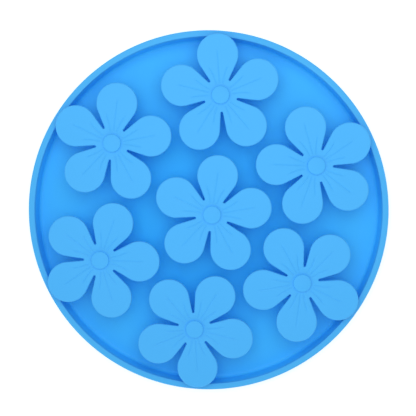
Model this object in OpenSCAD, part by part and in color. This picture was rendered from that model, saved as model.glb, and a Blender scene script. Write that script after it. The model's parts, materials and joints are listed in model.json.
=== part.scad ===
// Round silicone lick mat. A shallow tray carries seven five-petalled flowers on posts, and suction
// cups hold it to the floor. Food goes under the petals, which bend up and spring back, and each
// flower pulls off its post for washing. Origin: on the floor, under the middle of the tray. +Z is up.

/* [Tray] */
// Outside diameter of the tray
mat_d = 200; // [190:1:240]
// Width of the rim's flat top
rim_w = 3.5; // [2.4:0.1:5]
// Depth of the tray, from the rim's top to the floor
tray_depth = 10.5; // [6:0.5:14]
// Thickness of the tray's floor
floor_t = 2.5; // [1.8:0.1:4]
// Radius of the cove where the floor meets the rim's wall
cove_r = 2; // [1:0.1:4]
// Rounding of the rim's two top edges
rim_round = 0.8; // [0.3:0.1:1.1]
// Rounding of the tray's lower outside edge
base_round = 2; // [0.5:0.1:3]

/* [Flowers] */
// Distance that the outermost petal tips may reach over the rim's inner edge
petal_overhang = 1.3; // [0:0.1:2]
// Overlap of the circles that neighbouring flowers' petal tips lie on
interleave = 1.2; // [0:0.1:2]
// Gap between neighbouring petals of a flower, where their lobes are widest
petal_gap = 3.2; // [2.8:0.1:5]
// Thickness of the petals and hub
petal_t = 2.2; // [1.6:0.1:2.6]
// Height of the petals' underside above the rim's top
petal_clear = 2.5; // [2:0.1:6]
// Distance from a flower's middle to the inner end of each slit between petals
slit_r = 9.1; // [8.9:0.1:10]
// Width of a slit at its inner end
slit_w = 1.1; // [0.8:0.1:1.4]
// Turn of each flower on the ring, from pointing a petal straight outwards
petal_turn = 10.6; // [8:0.1:13]
// Turn of the middle flower
centre_turn = 58.3; // [56:0.1:60]
// Place of the middle flower, left to right
centre_x = 2; // [0:0.1:2.4]
// Place of the middle flower, front to back
centre_y = -1.8; // [-2.2:0.1:0]

/* [Flower middle] */
// Diameter of the raised button
button_d = 9.8; // [8:0.1:10.4]
// Height of the button's edge above the petals
button_edge = 0.5; // [0.3:0.1:1]
// Rise of the button's domed top above its edge
button_dome = 0.4; // [0.2:0.1:0.8]
// Distance from a slit's inner end out to where the bend lines of its two petals cross
bend_cross = 0.17; // [0:0.01:0.4]
// Gap round a petal's rounded root
root_gap = 0.1; // [0.08:0.01:0.15]

/* [Posts] */
// Distance from the line where a petal bends to the rounding of the sleeve under the flower
sleeve_clear = 0.7; // [0.5:0.1:1.2]
// Rounding where the sleeve meets the flower
sleeve_round = 0.5; // [0.2:0.1:0.6]
// Least thickness of the sleeve's wall, at the corners of its five-sided socket
sleeve_wall = 1.9; // [1.4:0.1:2.4]
// Thickness of the solid sleeve above the post
socket_roof = 3.5; // [2:0.5:6]
// Gap between each flat of a post and the flower's sleeve
post_gap = 0.15; // [0.1:0.01:0.25]

/* [Suction cups] */
// Diameter of a suction cup's lip
cup_d = 16; // [12:0.5:20]
// Height of a suction cup
cup_h = 3; // [2.4:0.1:5]
// Diameter where a cup joins the tray
cup_neck_d = 9; // [7:0.5:11]
// Thickness of a cup's roof
cup_roof = 1; // [0.7:0.1:1.6]
// Thickness of a cup's lip at its edge
lip_t = 0.5; // [0.3:0.1:0.8]
// Width of the flat ring that a cup's lip stands on
lip_w = 1; // [0.6:0.1:1.6]
// Distance from the tray's edge to the nearest cup
cup_inset = 8; // [5:0.5:14]

/* [Hidden] */
RING_FLOWERS = 6;
PETALS = 5;
CUP_RINGS = [1, 6, 12];
sector = 360 / PETALS;
overrun = 0.5;

mat_r = mat_d / 2;
floor_z = cup_h + floor_t;
rim_z = floor_z + tray_depth;
petal_z = rim_z + petal_clear;
bend_z = petal_z + petal_t / 2;
root_r = petal_t / 2;
slit_end_r = slit_w / 2;
slit_end_x = slit_r + slit_end_r;
cup_ring_r = mat_r - cup_inset - cup_d / 2;

// Three petal reaches, less one overlap, span from the tray's middle to the outermost petal tips.
petal_reach = (mat_r - rim_w + petal_overhang + interleave) / 3;
ring_r = 2 * petal_reach - interleave;

// Neighbouring lobes touch the reach circle and leave petal_gap between them.
lobe_spacing_share = 2 * sin(sector / 2);
lobe_r = (lobe_spacing_share * petal_reach - petal_gap) / (lobe_spacing_share + 2);
lobe_x = petal_reach - lobe_r;

// The hub is five-sided, with the bend lines as its sides. The sleeve, socket and post fit inside it.
hub_corner_r = slit_r + bend_cross;
bend_r = hub_corner_r * cos(sector / 2);
sleeve_r = bend_r - sleeve_clear - sleeve_round;
socket_flat_r = (sleeve_r - sleeve_wall) * cos(sector / 2);
post_flat_r = socket_flat_r - post_gap;
post_h = petal_z - floor_z - socket_roof;

function flower_label(k) = k == 0 ? "centre_flower" : str("flower_", k);
function hub_name(k) = str(flower_label(k), "_hub");
function petal_name(k, p) = str(flower_label(k), "_petal_", p + 1);
function around(n) = [for (i = [0:n - 1]) i];

// Places of the flowers: flower 0 is the middle one, and the others stand evenly on the ring.
function ring_angle(k) = (k - 1) * 360 / RING_FLOWERS;
function flower_turn(k) = k == 0 ? centre_turn : ring_angle(k) + petal_turn;
function flower_place(k) = k == 0 ? [centre_x, centre_y] : ring_r * [cos(ring_angle(k)), sin(ring_angle(k))];

module at_flower(k) {
    translate(flower_place(k)) rotate(flower_turn(k)) children();
}

// The part of a square corner that lies outside a quarter round of radius r. The corner is at the origin.
module corner_waste(r) {
    difference() {
        translate([-r, -overrun]) square([r + overrun, r + overrun]);
        translate([-r, r]) circle(r, $fn = 48);
    }
}

// Tray: half section of the floor and the rim, from the tray's underside up
module tray_section() {
    rim_h = floor_t + tray_depth;
    difference() {
        union() {
            square([mat_r, floor_t]);
            translate([mat_r - rim_w, 0]) square([rim_w, rim_h - rim_round]);
            translate([mat_r - rim_w + rim_round, 0]) square([rim_w - 2 * rim_round, rim_h]);
            for (x = [mat_r - rim_w + rim_round, mat_r - rim_round])
                translate([x, rim_h - rim_round]) circle(rim_round, $fn = 48);
            translate([mat_r - rim_w - cove_r, floor_t]) difference() {
                square(cove_r);
                translate([0, cove_r]) circle(cove_r, $fn = 48);
            }
        }
        translate([mat_r, 0]) corner_waste(base_round);
    }
}

// Post: a five-sided prism, so that a flower goes on at five turns that all look the same
module post(height, flat_r) {
    rotate(sector / 2) cylinder(height, r = flat_r / cos(sector / 2), $fn = PETALS);
}

module tray() {
    color([0.10, 0.44, 0.95]) {
        translate([0, 0, cup_h]) rotate_extrude($fn = 180) tray_section();
        for (k = [0:RING_FLOWERS])
            at_flower(k) translate([0, 0, floor_z - floor_t / 2])
                post(post_h + floor_t / 2, post_flat_r);
    }
}

// Suction cup: half section, hollowed from below by a round that meets the lip's flat ring
module cup_section() {
    hollow_h = cup_h - cup_roof;
    hollow_w = cup_d / 2 - lip_w;
    dome_r = (hollow_w * hollow_w + hollow_h * hollow_h) / (2 * hollow_h);
    difference() {
        polygon([[0, 0], [cup_d / 2, 0], [cup_d / 2, lip_t], [cup_neck_d / 2, cup_h], [0, cup_h]]);
        intersection() {
            translate([0, hollow_h - dome_r]) circle(dome_r, $fn = 120);
            translate([0, -overrun]) square([cup_d, cup_h]);
        }
    }
}

module suction_cups() {
    color([0.10, 0.44, 0.95])
        for (ring = [0:len(CUP_RINGS) - 1], i = around(CUP_RINGS[ring]))
            rotate(i * 360 / CUP_RINGS[ring])
                translate([cup_ring_r * ring / (len(CUP_RINGS) - 1), 0])
                    rotate_extrude($fn = 72) cup_section();
}

// Flower hub: disc, hollows for the petals' roots, button, and a sleeve that slips over the post
module hub_disc() {
    difference() {
        translate([0, 0, petal_z]) rotate(sector / 2) cylinder(petal_t, r = hub_corner_r, $fn = PETALS);
        for (p = around(PETALS))
            rotate(p * sector) translate([bend_r, 0, bend_z]) root_hollow();
    }
}

// A round hollow along the bend line, cut flat a little above and below the petal's faces
module root_hollow() {
    hollow_r = root_r + root_gap;
    intersection() {
        rotate([90, 0, 0]) cylinder(2 * hub_corner_r, r = hollow_r, center = true, $fn = 48);
        cube([2 * hollow_r, 2 * hub_corner_r, petal_t + root_gap], center = true);
    }
}

// The button and the middle of the sleeve start at half the hub's thickness, inside the disc.
module button() {
    button_r = button_d / 2;
    button_h = petal_t / 2 + button_edge + button_dome;
    dome_r = (button_r * button_r + button_dome * button_dome) / (2 * button_dome);
    translate([0, 0, bend_z]) rotate_extrude($fn = 96) intersection() {
        translate([0, button_h - dome_r]) circle(dome_r, $fn = 180);
        square([button_r, button_h]);
    }
}

module sleeve() {
    sleeve_h = petal_z - floor_z;
    translate([0, 0, floor_z]) rotate_extrude($fn = 96) {
        square([sleeve_r, sleeve_h]);
        square([sleeve_r - sleeve_wall, sleeve_h + petal_t / 2]);
        translate([sleeve_r, sleeve_h - sleeve_round]) difference() {
            square(sleeve_round);
            translate([sleeve_round, 0]) circle(sleeve_round, $fn = 32);
        }
    }
}

module flower_hub(k) {
    color([0.30, 0.68, 1.00]) at_flower(k) difference() {
        union() {
            hub_disc();
            button();
            sleeve();
        }
        translate([0, 0, floor_z - overrun]) post(post_h + post_gap + overrun, socket_flat_r);
    }
}

// Petal outline. Each side is the straight line that touches both the slit's round end and the lobe,
// and it runs on inwards past the bend line, so that the whole outline bulges outwards everywhere.
function slit_centre() = slit_end_x * [cos(sector / 2), sin(sector / 2)];
function side_angle() =
    let (d = [lobe_x, 0] - slit_centre())
    atan2(d[1], d[0]) + asin((lobe_r + slit_end_r) / norm(d));
function side_point(x) =
    let (touch = slit_centre() + slit_end_r * [sin(side_angle()), -cos(side_angle())])
    [x, touch[1] + (x - touch[0]) * tan(side_angle())];
function lobe_touch() = [lobe_x - lobe_r * sin(side_angle()), lobe_r * cos(side_angle())];
function mirrored(v) = [v[0], -v[1]];

module petal_plate() {
    root = side_point(bend_r - root_r - overrun);
    linear_extrude(petal_t) polygon([root, lobe_touch(), mirrored(lobe_touch()), mirrored(root)]);
    translate([lobe_x, 0]) cylinder(petal_t, r = lobe_r, $fn = 120);
}

// Petal: the outline's plate, with its root rounded about the bend line
module petal(k, p) {
    color([0.30, 0.68, 1.00]) at_flower(k) rotate(p * sector) intersection() {
        translate([0, 0, petal_z]) petal_plate();
        translate([bend_r, 0, bend_z]) union() {
            rotate([90, 0, 0]) cylinder(2 * petal_reach, r = root_r, center = true, $fn = 48);
            translate([0, -petal_reach, -petal_t]) cube([petal_reach, 2 * petal_reach, 2 * petal_t]);
        }
    }
}

tray();
suction_cups();
for (k = [0:RING_FLOWERS]) {
    flower_hub(k);
    for (p = around(PETALS))
        petal(k, p);
}
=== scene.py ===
"""Round silicone lick mat: the finished tray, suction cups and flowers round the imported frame.

Sizes are in millimetres and directions in degrees, in the part's own frame: the origin is on the floor
under the middle of the tray and +Z is up. The flowers' places and turns come from the frame's joints.
"""
import cmath
import json
import logging
import math
from dataclasses import dataclass, field
from enum import Enum
from typing import Callable

import bmesh
import bpy
from mathutils import Matrix, Vector

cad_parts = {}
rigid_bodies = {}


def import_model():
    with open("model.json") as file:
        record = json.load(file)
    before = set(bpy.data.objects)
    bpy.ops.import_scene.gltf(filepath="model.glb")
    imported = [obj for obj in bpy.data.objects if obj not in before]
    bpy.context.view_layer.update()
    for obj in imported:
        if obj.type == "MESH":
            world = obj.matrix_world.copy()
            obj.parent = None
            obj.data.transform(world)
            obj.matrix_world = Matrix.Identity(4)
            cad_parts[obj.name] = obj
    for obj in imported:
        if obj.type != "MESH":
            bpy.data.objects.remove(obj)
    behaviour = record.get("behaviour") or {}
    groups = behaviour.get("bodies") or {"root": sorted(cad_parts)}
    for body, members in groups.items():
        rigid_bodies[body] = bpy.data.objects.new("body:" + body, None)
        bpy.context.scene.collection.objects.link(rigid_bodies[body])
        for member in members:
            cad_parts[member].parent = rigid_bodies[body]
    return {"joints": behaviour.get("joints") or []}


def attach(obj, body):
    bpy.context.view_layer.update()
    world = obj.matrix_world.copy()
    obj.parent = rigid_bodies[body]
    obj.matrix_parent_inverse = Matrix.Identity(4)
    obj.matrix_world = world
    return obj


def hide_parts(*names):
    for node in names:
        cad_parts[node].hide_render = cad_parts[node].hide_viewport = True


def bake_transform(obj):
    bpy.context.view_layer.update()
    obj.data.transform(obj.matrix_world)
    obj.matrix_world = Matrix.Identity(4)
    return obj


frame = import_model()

# Metres in a millimetre. Sizes are multiplied by it where they are given to Blender.
MM = 0.001
PETALS = 5
# Degrees from one petal to the next.
SECTOR = 360 / PETALS
# Points closer together than this, in mm, count as one.
WELD = 0.0005
# Room for rounding where a point's place is tested, in mm or degrees.
NEAR = 0.01
# Room for rounding where a point is tested for lying on an arc, in mm.
ON_ARC = 0.001
# A face counts as upright where its normal's Z is smaller than this.
UPRIGHT = 0.5
# Times that the search for a crossing halves its range.
HALVINGS = 24
# Segments of a five-sided prism's rounded edges.
PRISM_ROUND_STEPS = 4
WHITE = (1.0, 1.0, 1.0)

log = logging.getLogger("lick_mat")


class Slot(Enum):
    """The record's material slots."""

    TRAY = "tray_silicone"
    FLOWER = "flower_silicone"


class Element(Enum):
    """What is selected in edit mode."""

    VERTS = "VERT"
    EDGES = "EDGE"


class Joining(Enum):
    """How a tool piece changes another."""

    ADD = "UNION"
    CUT = "DIFFERENCE"


def polar(radius: float, degrees: float) -> complex:
    """Returns the point of a plan at a radius and a direction, as a complex number."""
    return cmath.rect(radius, math.radians(degrees))


def direction(point: complex) -> float:
    """Returns the direction of a point of a plan, in degrees."""
    return math.degrees(cmath.phase(point))


def smooth(value: float) -> float:
    """Returns 0 below 0, 1 above 1, and a soft step between."""
    share = min(1.0, max(0.0, value))
    return share * share * (3 - 2 * share)


def spread(start: float, end: float, steps: int) -> list[float]:
    """Returns evenly spaced values after the start, up to the end."""
    return [start + (end - start) * (i + 1) / steps for i in range(steps)]


def deselect_all() -> None:
    """Deselects every object."""
    for obj in bpy.context.view_layer.objects:
        obj.select_set(False)


def activate(obj: bpy.types.Object) -> None:
    """Makes one object the active and only selected one.

    Args:
        obj: The object that the next operator works on.
    """
    deselect_all()
    obj.select_set(True)
    bpy.context.view_layer.objects.active = obj


def pick(obj: bpy.types.Object, kind: Element, test: Callable[..., bool]) -> None:
    """Selects, in edit mode, only the elements that pass a test.

    Args:
        obj: Object in edit mode.
        kind: What is selected.
        test: Says of one element whether it is wanted.
    """
    bpy.ops.mesh.select_mode(type=kind.value)
    bpy.ops.mesh.select_all(action="DESELECT")
    mesh = bmesh.from_edit_mesh(obj.data)
    for element in mesh.verts if kind is Element.VERTS else mesh.edges:
        if test(element):
            element.select_set(True)
    mesh.select_flush_mode()
    bmesh.update_edit_mesh(obj.data)


def combine(obj: bpy.types.Object, tool: bpy.types.Object, joining: Joining) -> None:
    """Adds a tool piece to an object or cuts it out, and deletes the tool.

    Args:
        obj: The piece that is changed.
        tool: The closed piece that is added or cut out.
        joining: Which of the two.
    """
    modifier = obj.modifiers.new("combine", "BOOLEAN")
    modifier.operation = joining.value
    modifier.solver = "EXACT"
    modifier.object = tool
    activate(obj)
    bpy.ops.object.modifier_apply(modifier=modifier.name)
    bpy.data.objects.remove(tool)


def soften(obj: bpy.types.Object, degrees: float = 35.0) -> None:
    """Shades an object smooth, apart from edges sharper than an angle."""
    activate(obj)
    bpy.ops.object.shade_smooth_by_angle(angle=math.radians(degrees))


def copied(obj: bpy.types.Object, name: str, place: Matrix) -> bpy.types.Object:
    """Copies a piece and moves the copy's own mesh to its place.

    Args:
        obj: The piece to copy.
        name: Name of the copy.
        place: Matrix that moves the mesh, in metres.

    Returns:
        The copy, whose object stays at the origin.
    """
    copy = bpy.data.objects.new(name, obj.data.copy())
    copy.data.transform(place)
    bpy.context.scene.collection.objects.link(copy)
    return copy


def opaque(colour: tuple[float, float, float]) -> tuple[float, float, float, float]:
    """Returns a colour with full alpha, as a colour socket takes it."""
    return (*colour, 1.0)


@dataclass(frozen=True)
class Corner:
    """A corner of a turned profile: distance from the axis, height, and the radius that rounds it."""

    r: float
    z: float
    round_r: float = 0.0

    def flat(self) -> complex:
        """Returns the corner as a point of the profile's plane."""
        return complex(self.r, self.z)


def turned(name: str, corners: list[Corner], steps: int, round_steps: int = 6) -> bpy.types.Object:
    """Draws a profile, rounds its corners and spins it once round the Z axis.

    Args:
        name: Name of the piece.
        corners: The profile's corners in order. An end off the axis is closed by a flat face.
        steps: Steps of the spin.
        round_steps: Segments of each rounded corner.

    Returns:
        The piece, a closed mesh with its place in it.
    """
    deselect_all()
    bpy.ops.mesh.primitive_plane_add(size=MM)
    obj = bpy.context.object
    obj.name = name
    bpy.ops.object.mode_set(mode="EDIT")
    bpy.ops.mesh.select_mode(type=Element.VERTS.value)
    # Merged to one point, the plane is the start of the profile, which is drawn on by extruding.
    bpy.ops.mesh.merge(type="CENTER")
    bpy.ops.transform.translate(value=(corners[0].r * MM, 0, corners[0].z * MM))
    for here, after in zip(corners, corners[1:]):
        step = ((after.r - here.r) * MM, 0, (after.z - here.z) * MM)
        bpy.ops.mesh.extrude_region_move(TRANSFORM_OT_translate={"value": step})
    for before, corner, after in zip(corners, corners[1:], corners[2:]):
        if corner.round_r:
            round_corner(obj, before, corner, after, round_steps)
    bpy.ops.mesh.select_all(action="SELECT")
    bpy.ops.mesh.spin(steps=steps, angle=math.tau, center=(0, 0, 0), axis=(0, 0, 1))
    bpy.ops.mesh.select_all(action="SELECT")
    bpy.ops.mesh.remove_doubles(threshold=WELD * MM)
    for end in (corners[0], corners[-1]):
        if end.r:
            pick(obj, Element.EDGES, lambda edge: edge.is_boundary and at_height(edge, end.z))
            bpy.ops.mesh.edge_face_add()
    bpy.ops.mesh.select_all(action="SELECT")
    bpy.ops.mesh.normals_make_consistent(inside=False)
    bpy.ops.object.mode_set(mode="OBJECT")
    return obj


def round_corner(obj: bpy.types.Object, before: Corner, corner: Corner, after: Corner,
                 steps: int) -> None:
    """Rounds one corner of a wire profile in edit mode.

    The bevel's width is worked out from the corner's radius and from how far the profile turns there.

    Args:
        obj: The wire profile.
        before: The corner before it.
        corner: The corner to round.
        after: The corner after it.
        steps: Segments of the round.
    """
    turn = cmath.phase((after.flat() - corner.flat()) / (corner.flat() - before.flat()))
    width = corner.round_r * math.tan(abs(turn) / 2)
    spot = Vector((corner.r, 0, corner.z)) * MM
    pick(obj, Element.VERTS, lambda vert: (vert.co - spot).length < WELD * MM)
    bpy.ops.mesh.bevel(offset=width * MM, segments=steps, affect="VERTICES", clamp_overlap=False)


def at_height(edge: bmesh.types.BMEdge, z: float) -> bool:
    """Says whether all of an edge lies at a height in mm."""
    return all(abs(vert.co.z - z * MM) < WELD * MM for vert in edge.verts)


def five_sided(name: str, flat_r: float, low: float, high: float, edge_r: float) -> bpy.types.Object:
    """Makes a five-sided prism with rounded long and upper edges, its corners between the petals.

    Args:
        name: Name of the piece.
        flat_r: Distance from the axis to each flat.
        low: Height of its lower end.
        high: Height of its upper end.
        edge_r: Radius of the rounded edges.

    Returns:
        The prism, with its place in its mesh.
    """
    deselect_all()
    # A new cylinder has a corner on +Y, and one is wanted half a sector from +X.
    turn = math.radians(SECTOR / 2 - 90)
    bpy.ops.mesh.primitive_cylinder_add(
        vertices=PETALS,
        radius=flat_r / math.cos(math.radians(SECTOR / 2)) * MM,
        depth=(high - low) * MM,
        location=(0, 0, (low + high) / 2 * MM),
        rotation=(0, 0, turn),
    )
    obj = bpy.context.object
    obj.name = name
    bpy.ops.object.transform_apply(location=True, rotation=True, scale=True)
    bpy.ops.object.mode_set(mode="EDIT")
    pick(obj, Element.EDGES, lambda edge: abs(edge.verts[0].co.z - edge.verts[1].co.z) > WELD * MM)
    bpy.ops.mesh.bevel(offset=edge_r * MM, segments=PRISM_ROUND_STEPS, affect="EDGES")
    pick(obj, Element.EDGES, lambda edge: at_height(edge, high))
    bpy.ops.mesh.bevel(offset=edge_r * MM, segments=PRISM_ROUND_STEPS, affect="EDGES")
    bpy.ops.object.mode_set(mode="OBJECT")
    return obj


@dataclass(frozen=True)
class PaintedHollowLight:
    """Deeper colour inside a round tray: on its floor and its wall, up to just under the rim's top.

    It is painted light: a deeper, bluer colour that stands in for the light which a translucent moulding
    gathers in its hollow. It is paler towards the wall, a painted pool of the light that comes in through
    it. It is full from floor_z up to wall_z and out to inner_r, and gone at under_z, at rim_z and at
    outer_r.
    """

    middle_colour: tuple[float, float, float]
    edge_colour: tuple[float, float, float]
    middle_r: float = 40.0
    edge_r: float = 90.0
    under_z: float = 4.0
    floor_z: float = 5.0
    wall_z: float = 12.5
    rim_z: float = 15.8
    inner_r: float = 96.6
    outer_r: float = 97.4

    def ramp(self, tree: bpy.types.NodeTree, value: bpy.types.NodeSocket, start: float,
             end: float) -> bpy.types.NodeSocket:
        """Adds a ramp from 0 to 1 between two distances.

        Args:
            tree: The material's node tree.
            value: Socket that gives a distance in metres.
            start: Distance in mm at which the ramp is 0.
            end: Distance in mm at which it is 1, which may be the smaller of the two.

        Returns:
            The socket that gives the ramp.
        """
        node = tree.nodes.new("ShaderNodeMapRange")
        node.inputs["From Min"].default_value = start * MM
        node.inputs["From Max"].default_value = end * MM
        tree.links.new(value, node.inputs["Value"])
        return node.outputs["Result"]

    def over(self, tree: bpy.types.NodeTree, place: bpy.types.NodeSocket,
             surface: bpy.types.NodeSocket) -> bpy.types.NodeSocket:
        """Adds the deeper colour over a surface's own colour.

        Args:
            tree: The material's node tree.
            place: Socket that gives the point of the surface.
            surface: Socket that gives the surface's own colour.

        Returns:
            The socket that gives the colour to use.
        """
        split = tree.nodes.new("ShaderNodeSeparateXYZ")
        # The distance from the middle is the length of the point without its height.
        flat = tree.nodes.new("ShaderNodeVectorMath")
        flat.operation = "MULTIPLY"
        flat.inputs[1].default_value = (1, 1, 0)
        radius = tree.nodes.new("ShaderNodeVectorMath")
        radius.operation = "LENGTH"
        tree.links.new(place, split.inputs["Vector"])
        tree.links.new(place, flat.inputs[0])
        tree.links.new(flat.outputs["Vector"], radius.inputs[0])
        share = self.ramp(tree, radius.outputs["Value"], self.outer_r, self.inner_r)
        height = split.outputs["Z"]
        for bound in (self.ramp(tree, height, self.under_z, self.floor_z),
                      self.ramp(tree, height, self.rim_z, self.wall_z)):
            both = tree.nodes.new("ShaderNodeMath")
            both.operation = "MULTIPLY"
            tree.links.new(share, both.inputs[0])
            tree.links.new(bound, both.inputs[1])
            share = both.outputs["Value"]
        # Painted light: paler towards the wall, where more light comes in through it.
        paler = tree.nodes.new("ShaderNodeMix")
        paler.data_type = "RGBA"
        paler.inputs["A"].default_value = opaque(self.middle_colour)
        paler.inputs["B"].default_value = opaque(self.edge_colour)
        outwards = self.ramp(tree, radius.outputs["Value"], self.middle_r, self.edge_r)
        tree.links.new(outwards, paler.inputs["Factor"])
        # The painted light is laid over the surface's own colour here.
        mix = tree.nodes.new("ShaderNodeMix")
        mix.data_type = "RGBA"
        tree.links.new(share, mix.inputs["Factor"])
        tree.links.new(surface, mix.inputs["A"])
        tree.links.new(paler.outputs["Result"], mix.inputs["B"])
        return mix.outputs["Result"]


@dataclass(frozen=True)
class Silicone:
    """Satin silicone: its colour with a faint cloudiness, and a fine moulded grain."""

    name: str
    colour: tuple[float, float, float]
    cloud_colour: tuple[float, float, float]
    # Painted light in a tray's hollow, if any: a deeper, bluer colour on its floor and wall.
    hollow: PaintedHollowLight | None = None
    cloud_size: float = 16.0
    cloud_detail: float = 3.0
    grain_size: float = 0.3
    grain_detail: float = 2.0
    grain_depth: float = 0.012
    smooth_roughness: float = 0.5
    dull_roughness: float = 0.62
    specular: float = 0.22

    def material(self) -> bpy.types.Material:
        """Builds the material.

        Returns:
            A node material that reads Object coordinates.
        """
        made = bpy.data.materials.new(self.name)
        made.use_nodes = True
        nodes = made.node_tree.nodes
        links = made.node_tree.links
        shader = nodes["Principled BSDF"]
        shader.inputs["Specular IOR Level"].default_value = self.specular
        place = nodes.new("ShaderNodeTexCoord")

        cloud = nodes.new("ShaderNodeTexNoise")
        cloud.inputs["Scale"].default_value = 1 / (self.cloud_size * MM)
        cloud.inputs["Detail"].default_value = self.cloud_detail
        colours = nodes.new("ShaderNodeMix")
        colours.data_type = "RGBA"
        colours.inputs["A"].default_value = opaque(self.colour)
        colours.inputs["B"].default_value = opaque(self.cloud_colour)
        links.new(place.outputs["Object"], cloud.inputs["Vector"])
        links.new(cloud.outputs["Fac"], colours.inputs["Factor"])
        surface = colours.outputs["Result"]
        # Painted light: the tray's hollow gets a deeper, bluer colour for the light that its translucent
        # silicone gathers there.
        if self.hollow:
            surface = self.hollow.over(made.node_tree, place.outputs["Object"], surface)
        links.new(surface, shader.inputs["Base Color"])

        grain = nodes.new("ShaderNodeTexNoise")
        grain.inputs["Scale"].default_value = 1 / (self.grain_size * MM)
        grain.inputs["Detail"].default_value = self.grain_detail
        dullness = nodes.new("ShaderNodeMapRange")
        dullness.inputs["To Min"].default_value = self.smooth_roughness
        dullness.inputs["To Max"].default_value = self.dull_roughness
        bump = nodes.new("ShaderNodeBump")
        bump.inputs["Distance"].default_value = self.grain_depth * MM
        links.new(place.outputs["Object"], grain.inputs["Vector"])
        links.new(grain.outputs["Fac"], dullness.inputs["Value"])
        links.new(dullness.outputs["Result"], shader.inputs["Roughness"])
        links.new(grain.outputs["Fac"], bump.inputs["Height"])
        links.new(bump.outputs["Normal"], shader.inputs["Normal"])
        return made


@dataclass(frozen=True)
class PetalPlace:
    """Where one petal stands: its flower's middle and its direction, as the frame's joint gives them."""

    body: str
    flower: str
    hinge: Vector
    outwards: Vector

    def matrix(self, middle: Vector) -> Matrix:
        """Returns the matrix that turns a petal along +X to this direction, about its flower's middle."""
        turn = math.atan2(self.outwards.y, self.outwards.x)
        return Matrix.Translation(middle) @ Matrix.Rotation(turn, 4, "Z")


def petal_places() -> dict[str, list[PetalPlace]]:
    """Groups the frame's petal hinges by flower.

    Returns:
        The petals' places under each flower's body name.
    """
    flowers: dict[str, list[PetalPlace]] = {}
    for joint in frame["joints"]:
        if joint["type"] != "hinge":
            continue
        axis = Vector(joint["axis"])
        outwards = Vector((-axis.y, axis.x, 0))
        place = PetalPlace(joint["child"], joint["parent"], Vector(joint["pos_m"]), outwards)
        flowers.setdefault(joint["parent"], []).append(place)
    return flowers


def flower_middle(petals: list[PetalPlace]) -> Vector:
    """Returns the point on the floor under a flower's middle, the mean of its petals' hinges."""
    total = sum((petal.hinge for petal in petals), Vector())
    return Vector((total.x, total.y, 0)) / len(petals)


@dataclass
class Tray:
    """The round tray: floor, cove, upright rim and seven five-sided posts, one moulding.

    Inside floor_edge_r the floor's upper and lower face are flat. The posts start inside the floor.
    """

    finish: Silicone
    radius: float = 100.0
    rim_w: float = 3.5
    under_z: float = 3.0
    floor_z: float = 5.5
    rim_z: float = 16.0
    cove_r: float = 2.0
    inner_round: float = 0.5
    rim_round: float = 0.8
    base_round: float = 2.0
    post_flat_r: float = 3.41
    post_low_z: float = 4.0
    post_top_z: float = 15.0
    post_round: float = 0.4
    floor_edge_r: float = 93.0
    steps: int = 256

    def build(self) -> bpy.types.Object:
        """Turns the tray, stands the posts on its floor and dresses it.

        Returns:
            The finished tray, riding on its body.
        """
        wall_r = self.radius - self.rim_w
        corners = [
            Corner(self.floor_edge_r, self.floor_z),
            Corner(wall_r, self.floor_z, self.cove_r),
            Corner(wall_r, self.rim_z, self.inner_round),
            Corner(self.radius, self.rim_z, self.rim_round),
            Corner(self.radius, self.under_z, self.base_round),
            Corner(self.floor_edge_r, self.under_z),
        ]
        tray = turned("tray_moulding", corners, self.steps)
        for petals in petal_places().values():
            post = five_sided("post", self.post_flat_r, self.post_low_z, self.post_top_z, self.post_round)
            post.data.transform(petals[0].matrix(flower_middle(petals)))
            combine(tray, post, Joining.ADD)
        soften(tray)
        tray.data.materials.append(self.finish.material())
        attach(tray, "tray")
        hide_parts("tray")
        log.info("tray: %d faces", len(tray.data.polygons))
        return tray


@dataclass
class SuctionCups:
    """The suction cups under the tray: one in the middle and two rings round it."""

    finish: Silicone
    lip_r: float = 8.0
    height: float = 3.0
    neck_r: float = 4.5
    lip_t: float = 0.5
    lip_w: float = 1.0
    lip_top_round: float = 0.3
    lip_foot_round: float = 0.2
    roof: float = 1.0
    ring_r: float = 84.0
    ring_counts: tuple[int, ...] = (1, 6, 12)
    hollow_steps: int = 8
    round_steps: int = 3
    steps: int = 64

    def profile(self) -> list[Corner]:
        """Draws the profile of a cup, whose hollow is part of a ball.

        Returns:
            The corners, from the middle of the roof's top round the lip to the middle of the hollow.
        """
        hollow_h = self.height - self.roof
        hollow_r = self.lip_r - self.lip_w
        dome_r = (hollow_r**2 + hollow_h**2) / (2 * hollow_h)
        corners = [
            Corner(0, self.height),
            Corner(self.neck_r, self.height),
            Corner(self.lip_r, self.lip_t, self.lip_top_round),
            Corner(self.lip_r, 0, self.lip_foot_round),
            Corner(hollow_r, 0),
        ]
        for r in spread(hollow_r, 0, self.hollow_steps):
            corners.append(Corner(r, math.sqrt(dome_r**2 - r**2) - dome_r + hollow_h))
        return corners

    def build(self) -> bpy.types.Object:
        """Turns one cup, copies it to its rings and joins the copies.

        Returns:
            The finished cups, riding on the tray's body.
        """
        first = turned("suction_cup", self.profile(), self.steps, self.round_steps)
        soften(first)
        copies = []
        for ring, count in enumerate(self.ring_counts):
            radius = self.ring_r * ring / (len(self.ring_counts) - 1)
            for i in range(count):
                spot = polar(radius * MM, 360 * i / count)
                place = Matrix.Translation((spot.real, spot.imag, 0))
                copies.append(copied(first, "cup", place))
        bpy.data.objects.remove(first)
        activate(copies[0])
        for cup in copies:
            cup.select_set(True)
        bpy.ops.object.join()
        cups = bpy.context.object
        cups.name = "suction_cups_moulded"
        cups.data.materials.append(self.finish.material())
        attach(cups, "tray")
        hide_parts("suction_cups")
        log.info("suction cups: %d", len(copies))
        return cups


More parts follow.
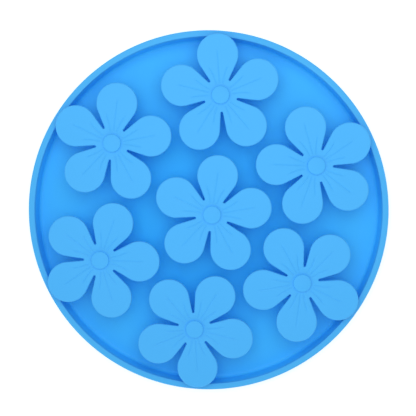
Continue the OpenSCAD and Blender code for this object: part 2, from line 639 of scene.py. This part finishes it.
@dataclass
class PetalPlan:
    """Plan and relief of one fifth of a flower, with the petal along +X from the flower's middle.

    Its inner edge is a stretch of the groove round the button. From there a seam runs out to the slit,
    the side goes round the slit's end and on in a straight line, and the lobe closes it. An inset plan
    has the same seams, and the rest of its outline lies that much further in. A place inside the plan is
    given by two shares: across, from -1 at the right edge to 1 at the left one, and along, from 0 at the
    groove to 1 at the tip. The mesh's rows run across and its columns along.
    """

    inset: float = 0.0
    reach: float = 33.0
    lobe_gap: float = 3.2
    slit_r: float = 9.1
    slit_w: float = 1.1
    inner_r: float = 5.1
    tip_spread: float = 50.0
    groove_w: float = 0.9
    groove_depth: float = 0.06
    dip_r: float = 13.0
    dip_depth: float = 0.6
    vein_w: float = 0.55
    vein_depth: float = 0.25
    vein_start: float = 5.8
    vein_rise: float = 1.0
    vein_fade: float = 2.5
    middle_vein_end: float = 25.5
    side_vein_end: float = 17.5
    side_vein_turn: float = 15.3
    side_vein_bend: float = 2.4
    side_vein_bend_r: float = 10.0
    side_vein_bend_w: float = 6.0
    side_vein_share: float = 0.44
    groove_rows: int = 5
    seam_rows: int = 4
    bend_rows: int = 8
    straight_rows: int = 14
    lobe_rows: int = 17
    vein_columns: tuple[float, ...] = (0.03, 0.06, 0.1)
    inner_columns: tuple[float, ...] = (0.17, 0.25)
    outer_columns: tuple[float, ...] = (0.66, 0.78, 0.89, 1.0)
    lobe_r: float = field(init=False)
    lobe_x: float = field(init=False)
    slit_end_r: float = field(init=False)
    slit_end: complex = field(init=False)
    side_turn: float = field(init=False)
    lengths: tuple[float, float, float, float] = field(init=False)

    def __post_init__(self) -> None:
        """Works out the lobe, the side's direction and the lengths of the outline's four stretches."""
        spacing = 2 * math.sin(math.radians(SECTOR / 2))
        full_lobe_r = (spacing * self.reach - self.lobe_gap) / (spacing + 2)
        self.lobe_x = self.reach - full_lobe_r
        self.lobe_r = full_lobe_r - self.inset
        self.slit_end = polar(self.slit_r + self.slit_w / 2, SECTOR / 2)
        self.slit_end_r = self.slit_w / 2 + self.inset
        to_lobe = self.lobe_x - self.slit_end
        both = self.lobe_r + self.slit_end_r
        self.side_turn = direction(to_lobe) + math.degrees(math.asin(both / abs(to_lobe)))
        self.lengths = (
            self.slit_r - self.inset - self.inner_r,
            math.radians(self.side_turn + 90 - SECTOR / 2) * self.slit_end_r,
            math.sqrt(abs(to_lobe) ** 2 - both**2),
            math.radians(self.side_turn + 90 - self.tip_spread) * self.lobe_r,
        )

    def side(self, station: float) -> complex:
        """Finds a point on the left edge of the plan.

        Args:
            station: Distance along the edge, from the groove outwards.

        Returns:
            The point.
        """
        seam, bend, straight, _ = self.lengths
        if station <= seam:
            return polar(self.inner_r + station, SECTOR / 2)
        station -= seam
        if station <= bend:
            turn = math.degrees(station / self.slit_end_r)
            return self.slit_end + polar(self.slit_end_r, SECTOR / 2 - 180 + turn)
        station -= bend
        if station <= straight:
            touch = self.slit_end + polar(self.slit_end_r, self.side_turn - 90)
            return touch + polar(station, self.side_turn)
        turn = math.degrees((station - straight) / self.lobe_r)
        return self.lobe_x + polar(self.lobe_r, self.side_turn + 90 - turn)

    def point(self, across: float, along: float) -> complex:
        """Finds a point inside the plan, blended from its four edges.

        Args:
            across: The point's share across.
            along: The point's share along.

        Returns:
            The point.
        """
        left = self.side(along * sum(self.lengths))
        inner = polar(self.inner_r, SECTOR / 2)
        outer = self.lobe_x + polar(self.lobe_r, self.tip_spread)
        share = (1 + across) / 2

        def between(edge: complex) -> complex:
            """Returns the point at this share between a point of the left edge and its mirror image."""
            return edge * share + edge.conjugate() * (1 - share)

        inner_edge = polar(self.inner_r, across * SECTOR / 2)
        outer_edge = self.lobe_x + polar(self.lobe_r, across * self.tip_spread)
        ends = (inner_edge - between(inner)) * (1 - along) + (outer_edge - between(outer)) * along
        return between(left) + ends

    def outwards(self, spot: complex) -> complex:
        """Finds the direction square to the outline.

        Args:
            spot: A point on the plan's edge.

        Returns:
            The direction out of the plan, or 0 on a seam or on the groove.
        """
        upper = complex(spot.real, abs(spot.imag))
        seam_end_r = self.inner_r + self.lengths[0]
        on_seam = direction(upper) > SECTOR / 2 - NEAR and abs(spot) < seam_end_r - NEAR
        if abs(spot) < self.inner_r + NEAR or on_seam:
            return 0j
        from_slit = upper - self.slit_end
        from_lobe = upper - self.lobe_x
        if abs(from_slit) < self.slit_end_r + ON_ARC:
            way = -from_slit / abs(from_slit)
        elif abs(from_lobe) < self.lobe_r + ON_ARC and direction(from_lobe) < self.side_turn + 90:
            way = from_lobe / abs(from_lobe)
        else:
            way = polar(1, self.side_turn + 90)
        return way if spot.imag >= 0 else way.conjugate()

    def rows(self) -> list[float]:
        """Spaces the mesh's rows, close together at the groove and at the slit's end.

        Returns:
            The share along of each row.
        """
        seam, bend, straight, lobe = self.lengths
        stations = [0.0, *spread(0, self.groove_w, self.groove_rows)]
        stations += spread(self.groove_w, seam, self.seam_rows)
        stretches = ((bend, self.bend_rows), (straight, self.straight_rows), (lobe, self.lobe_rows))
        for length, steps in stretches:
            stations += spread(stations[-1], stations[-1] + length, steps)
        return [station / sum(self.lengths) for station in stations]

    def side_vein_direction(self, radius: float) -> float:
        """Returns the left side vein's direction from the flower's middle, at a distance from there."""
        bent = smooth((radius - self.side_vein_bend_r) / self.side_vein_bend_w)
        return self.side_vein_turn + self.side_vein_bend * bent

    def share_at_side_vein(self, along: float) -> float:
        """Finds where a row crosses the side vein's line.

        Args:
            along: The row's share along.

        Returns:
            The share across.
        """
        low, high = 0.0, 1.0
        for _ in range(HALVINGS):
            middle = (low + high) / 2
            spot = self.point(middle, along)
            if direction(spot) < self.side_vein_direction(abs(spot)):
                low = middle
            else:
                high = middle
        return low

    def columns(self) -> list[float]:
        """Spaces the mesh's columns, close together along the middle vein and the side veins.

        Returns:
            The share across of each column.
        """
        half = [*self.vein_columns, *self.inner_columns]
        half += [self.side_vein_share - step for step in reversed(self.vein_columns)]
        half += [self.side_vein_share]
        half += [self.side_vein_share + step for step in self.vein_columns]
        half += self.outer_columns
        return [-share for share in reversed(half)] + [0.0] + half

    def across(self, column: float, vein_share: float) -> float:
        """Moves a column so that the side vein's column lies on the vein.

        Args:
            column: The column's share across, where the side vein's column has its usual share.
            vein_share: The share across at which the vein really crosses the row.

        Returns:
            The column's share across in that row.
        """
        size = abs(column)
        if size <= self.side_vein_share:
            size *= vein_share / self.side_vein_share
        else:
            size = 1 - (1 - size) * (1 - vein_share) / (1 - self.side_vein_share)
        return math.copysign(size, column)

    def relief(self, spot: complex) -> float:
        """Works out how far the top face lies below its full height.

        Args:
            spot: Point of the plan.

        Returns:
            Depth of the groove or a vein, whichever is the deeper, and of the dip round the button.
        """
        radius = abs(spot)
        turn = abs(direction(spot))
        groove = self.groove_depth * smooth(1 - (radius - self.inner_r) / self.groove_w)
        dip = self.dip_depth * smooth((self.dip_r - radius) / (self.dip_r - self.inner_r))
        side_offset = radius * math.radians(abs(turn - self.side_vein_direction(radius)))
        veins = max(
            self.vein(radius, abs(spot.imag), self.middle_vein_end),
            self.vein(radius, side_offset, self.side_vein_end),
        )
        return max(groove, veins) + dip

    def vein(self, radius: float, offset: float, end: float) -> float:
        """Works out how deep a vein is, which fades in near the groove and out at its end.

        Args:
            radius: Distance from the flower's middle.
            offset: Distance sideways from the vein's middle line.
            end: Distance from the flower's middle at which the vein ends.

        Returns:
            The vein's depth at that point.
        """
        across = smooth(1 - offset / self.vein_w)
        start = smooth((radius - self.vein_start) / self.vein_rise)
        fade = smooth((end - radius) / self.vein_fade)
        return self.vein_depth * across * start * fade


@dataclass
class Flowers:
    """The seven flowers: a core with its button and sleeve on each hub, and five petals round it."""

    finish: Silicone
    plan: PetalPlan = field(default_factory=PetalPlan)
    under_z: float = 18.5
    top_z: float = 20.7
    top_round: float = 0.7
    top_round_steps: int = 4
    under_round: float = 0.4
    under_round_steps: int = 3
    even_from: float = 0.7
    even_over: float = 0.3
    bend_length: float = 5.0
    button_r: float = 4.9
    button_edge: float = 0.5
    button_dome: float = 0.4
    button_round: float = 0.6
    button_foot_round: float = 0.1
    button_steps: int = 5
    sleeve_r: float = 6.3
    sleeve_top_round: float = 0.5
    sleeve_top_steps: int = 5
    sleeve_low_round: float = 0.5
    sleeve_low_z: float = 5.5
    socket_flat_r: float = 3.56
    socket_round: float = 0.4
    socket_low_z: float = 4.5
    socket_top_z: float = 15.15
    core_steps: int = 96

    def edge_rings(self) -> list[tuple[float, float]]:
        """Rounds the upper and the lower edge of a petal's side, in rings of the mesh.

        Returns:
            Height and inset of each ring, from the top face down to the underside.
        """
        rings = [(self.top_z, self.top_round)]
        for turn in spread(0, 90, self.top_round_steps):
            spot = polar(self.top_round, turn)
            rings.append((self.top_z - self.top_round + spot.real, self.top_round - spot.imag))
        for turn in (0, *spread(0, 90, self.under_round_steps)):
            spot = polar(self.under_round, turn)
            rings.append((self.under_z + self.under_round - spot.imag, self.under_round - spot.real))
        return rings

    def petal(self) -> bpy.types.Object:
        """Shapes one petal with its fifth of the web round the button.

        Returns:
            A closed mesh along +X from the flower's middle.
        """
        plan = PetalPlan(inset=self.top_round)
        obj = self.top_face(plan)
        self.thicken(obj, plan)
        self.press_relief(obj, plan)
        bpy.ops.object.mode_set(mode="EDIT")
        bpy.ops.mesh.select_all(action="SELECT")
        bpy.ops.mesh.remove_doubles(threshold=WELD * MM)
        bpy.ops.mesh.normals_make_consistent(inside=False)
        bpy.ops.object.mode_set(mode="OBJECT")
        soften(obj)
        return obj

    def top_face(self, plan: PetalPlan) -> bpy.types.Object:
        """Lays a grid over a plan, at the height of the petal's top.

        The columns follow the side veins. From the share even_from on they grow even towards the tip.

        Args:
            plan: The top face's plan.

        Returns:
            The flat grid.
        """
        rows = plan.rows()
        columns = plan.columns()
        spans = (len(rows) - 1, len(columns) - 1)
        # The new grid reaches this far from its middle on each side.
        half = 0.5
        deselect_all()
        bpy.ops.mesh.primitive_grid_add(x_subdivisions=spans[0], y_subdivisions=spans[1], size=2 * half)
        obj = bpy.context.object
        obj.name = "petal"
        vein_shares = {row: plan.share_at_side_vein(row) for row in rows}
        for vert in obj.data.vertices:
            row = rows[round((vert.co.x + half) * spans[0])]
            column = columns[round((vert.co.y + half) * spans[1])]
            across = plan.across(column, vein_shares[row])
            even_across = vert.co.y / half
            across += (even_across - across) * smooth((row - self.even_from) / self.even_over)
            spot = plan.point(across, row)
            vert.co = Vector((spot.real, spot.imag, self.top_z)) * MM
        return obj

    def thicken(self, obj: bpy.types.Object, plan: PetalPlan) -> None:
        """Gives the top face its thickness, and its side the rounded edges.

        Args:
            obj: The flat grid, which becomes a closed plate.
            plan: The top face's plan.
        """
        rings = self.edge_rings()
        thickness = self.top_z - self.under_z
        plate = obj.modifiers.new("plate", "SOLIDIFY")
        plate.thickness = thickness * MM
        plate.offset = -1
        activate(obj)
        bpy.ops.object.modifier_apply(modifier=plate.name)
        bpy.ops.object.mode_set(mode="EDIT")
        pick(obj, Element.EDGES,
             lambda edge: not at_height(edge, self.top_z) and not at_height(edge, self.under_z))
        bpy.ops.mesh.subdivide(number_cuts=len(rings) - 2)
        bpy.ops.object.mode_set(mode="OBJECT")
        side = {i for face in obj.data.polygons if abs(face.normal.z) < UPRIGHT for i in face.vertices}
        for i in side:
            vert = obj.data.vertices[i]
            spot = complex(vert.co.x, vert.co.y) / MM
            ring = round((self.top_z - vert.co.z / MM) / thickness * (len(rings) - 1))
            height, inset = rings[ring]
            spot += plan.outwards(spot) * (self.top_round - inset)
            vert.co = Vector((spot.real, spot.imag, height)) * MM

    def press_relief(self, obj: bpy.types.Object, plan: PetalPlan) -> None:
        """Presses the groove, the veins and the dip into the top, and less into what lies below it.

        Args:
            obj: The closed plate. Its underside stays flat.
            plan: The plan that gives the relief.
        """
        thickness = self.top_z - self.under_z
        for vert in obj.data.vertices:
            share = (vert.co.z / MM - self.under_z) / thickness
            vert.co.z -= plan.relief(complex(vert.co.x, vert.co.y) / MM) * share * MM

    def core(self) -> bpy.types.Object:
        """Turns the button, its groove and the sleeve underneath, and cuts the five-sided socket.

        Returns:
            A closed mesh about the Z axis.
        """
        button_z = self.top_z + self.button_edge
        dome_r = (self.button_r**2 + self.button_dome**2) / (2 * self.button_dome)
        groove_z = self.top_z - self.plan.relief(complex(self.plan.inner_r, 0))
        corners = []
        for r in (0, *spread(0, self.button_r, self.button_steps)):
            z = button_z + self.button_dome - dome_r + math.sqrt(dome_r**2 - r**2)
            corners.append(Corner(r, z, self.button_round if r == self.button_r else 0))
        neck_r = self.sleeve_r + self.sleeve_top_round
        neck_z = self.under_z - self.sleeve_top_round
        corners += [
            Corner(self.button_r, groove_z, self.button_foot_round),
            Corner(self.plan.inner_r, groove_z),
            Corner(self.plan.inner_r, self.under_z),
            Corner(neck_r, self.under_z),
        ]
        for turn in spread(90, 180, self.sleeve_top_steps):
            spot = polar(self.sleeve_top_round, turn)
            corners.append(Corner(neck_r + spot.real, neck_z + spot.imag))
        corners += [
            Corner(self.sleeve_r, self.sleeve_low_z, self.sleeve_low_round),
            Corner(0, self.sleeve_low_z),
        ]
        obj = turned("core", corners, self.core_steps)
        socket = five_sided("socket", self.socket_flat_r, self.socket_low_z, self.socket_top_z,
                            self.socket_round)
        combine(obj, socket, Joining.CUT)
        soften(obj)
        return obj

    def build(self) -> list[bpy.types.Object]:
        """Shapes one petal and one core, and copies them to every flower.

        Returns:
            The finished pieces. Each core rides on its flower's body; the petals stay at their places, on
            no body.
        """
        petal = self.petal()
        core = self.core()
        material = self.finish.material()
        for template in (petal, core):
            template.data.materials.append(material)
        pieces = []
        for flower, petals in petal_places().items():
            middle = flower_middle(petals)
            heart = copied(core, f"{flower}_core", petals[0].matrix(middle))
            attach(heart, flower)
            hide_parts(f"{flower}_hub")
            pieces.append(heart)
            for place in petals:
                piece = copied(petal, f"{place.body}_moulding", place.matrix(middle))
                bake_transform(piece)
                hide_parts(place.body)
                pieces.append(piece)
            log.info("%s: core and %d petals", flower, len(petals))
        bpy.data.objects.remove(petal)
        bpy.data.objects.remove(core)
        return pieces


@dataclass
class Studio:
    """Plain pale floor, soft light from above and all round, and the camera that looks down on the mat.

    The softbox's power is in watts. The camera's values say how the mat stands in front of it: turned by
    roll about the line of sight, then tilted about the view's own X and Y, with its middle at a distance
    and offset a little from the line of sight.
    """

    floor_size: float = 6000.0
    floor_colour: tuple[float, float, float] = (0.95, 0.95, 0.95)
    floor_glow: float = 0.3
    sky_full: float = 1.13
    sky_dimmest: float = 0.32
    sky_lean: float = 24.0
    sky_lean_turn: float = 40.0
    softbox_size: float = 420.0
    softbox_place: tuple[float, float, float] = (52.0, 82.0, 401.5)
    softbox_power: float = 0.99
    image_px: float = 416.0
    focal_px: float = 674.3
    sensor: float = 36.0
    distance: float = 389.95
    offset_x: float = 0.135
    offset_y: float = -1.686
    roll: float = 23.65
    tilt_x: float = 3.61
    tilt_y: float = -1.32

    def floor(self) -> None:
        """Lays the pale floor, dull and glowing a little, as a lit white backdrop does."""
        deselect_all()
        bpy.ops.mesh.primitive_plane_add(size=self.floor_size * MM)
        floor = bpy.context.object
        floor.name = "studio_floor"
        paint = bpy.data.materials.new("pale_floor")
        paint.use_nodes = True
        shader = paint.node_tree.nodes["Principled BSDF"]
        shader.inputs["Base Color"].default_value = opaque(self.floor_colour)
        shader.inputs["Roughness"].default_value = 1.0
        shader.inputs["Specular IOR Level"].default_value = 0.0
        shader.inputs["Emission Color"].default_value = opaque(WHITE)
        shader.inputs["Emission Strength"].default_value = self.floor_glow
        floor.data.materials.append(paint)

    def dimmest_direction(self) -> Vector:
        """Returns the direction in which the sky is dimmest: overhead, leaning to one side."""
        sideways = polar(math.sin(math.radians(self.sky_lean)), self.sky_lean_turn)
        return Vector((sideways.real, sideways.imag, math.cos(math.radians(self.sky_lean))))

    def light(self) -> None:
        """Sets a sky that dims from full, square to one direction, to its dimmest there, and a softbox."""
        world = bpy.data.worlds.new("studio")
        world.use_nodes = True
        nodes = world.node_tree.nodes
        links = world.node_tree.links
        nodes["Background"].inputs["Color"].default_value = opaque(WHITE)
        place = nodes.new("ShaderNodeTexCoord")
        towards = nodes.new("ShaderNodeVectorMath")
        towards.operation = "DOT_PRODUCT"
        towards.inputs[1].default_value = self.dimmest_direction()
        dim = nodes.new("ShaderNodeMapRange")
        dim.inputs["To Min"].default_value = self.sky_full
        dim.inputs["To Max"].default_value = self.sky_dimmest
        links.new(place.outputs["Generated"], towards.inputs[0])
        links.new(towards.outputs["Value"], dim.inputs["Value"])
        links.new(dim.outputs["Result"], nodes["Background"].inputs["Strength"])
        bpy.context.scene.world = world
        lamp = bpy.data.lights.new("softbox", "AREA")
        lamp.size = self.softbox_size * MM
        lamp.energy = self.softbox_power
        softbox = bpy.data.objects.new("softbox", lamp)
        softbox.location = Vector(self.softbox_place) * MM
        # A lamp shines along its own -Z, so its Z points away from the middle of the mat.
        softbox.rotation_euler = softbox.location.to_track_quat("Z", "Y").to_euler()
        bpy.context.scene.collection.objects.link(softbox)

    def camera(self) -> None:
        """Sets the camera to the photograph's viewing angle."""
        tilt = Vector((self.tilt_x, self.tilt_y, 0))
        rolled = Matrix.Rotation(math.radians(self.roll), 3, "Z")
        turn = Matrix.Rotation(math.radians(tilt.length), 3, tilt) @ rolled
        # The mat stays where it is, so the camera is turned the other way.
        back = turn.transposed()
        lens = bpy.data.cameras.new("camera")
        lens.sensor_width = self.sensor
        lens.lens = self.sensor * self.focal_px / self.image_px
        camera = bpy.data.objects.new("camera", lens)
        place = back @ Vector((-self.offset_x, -self.offset_y, self.distance)) * MM
        camera.matrix_world = Matrix.Translation(place) @ back.to_4x4()
        bpy.context.scene.collection.objects.link(camera)
        bpy.context.scene.camera = camera

    def build(self) -> None:
        """Makes the whole stage."""
        self.camera()
        self.floor()
        self.light()
        bpy.context.scene.view_settings.view_transform = "Standard"


def main() -> None:
    """Builds the stage and every piece."""
    logging.basicConfig(level=logging.INFO, format="%(message)s")
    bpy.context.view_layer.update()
    tray_finish = Silicone(
        name="tray_silicone",
        colour=(0.062, 0.425, 0.87),
        cloud_colour=(0.058, 0.415, 0.86),
        # The hollow's colours are painted light, deeper and bluer than the tray's own colour.
        hollow=PaintedHollowLight(middle_colour=(0.022, 0.475, 1.0), edge_colour=(0.045, 0.5, 1.0)),
    )
    flower_finish = Silicone(
        name="flower_silicone",
        colour=(0.065, 0.435, 0.91),
        cloud_colour=(0.061, 0.425, 0.90),
    )
    Studio().build()
    Tray(tray_finish).build()
    SuctionCups(tray_finish).build()
    Flowers(flower_finish).build()


if __name__ == "__main__":
    main()
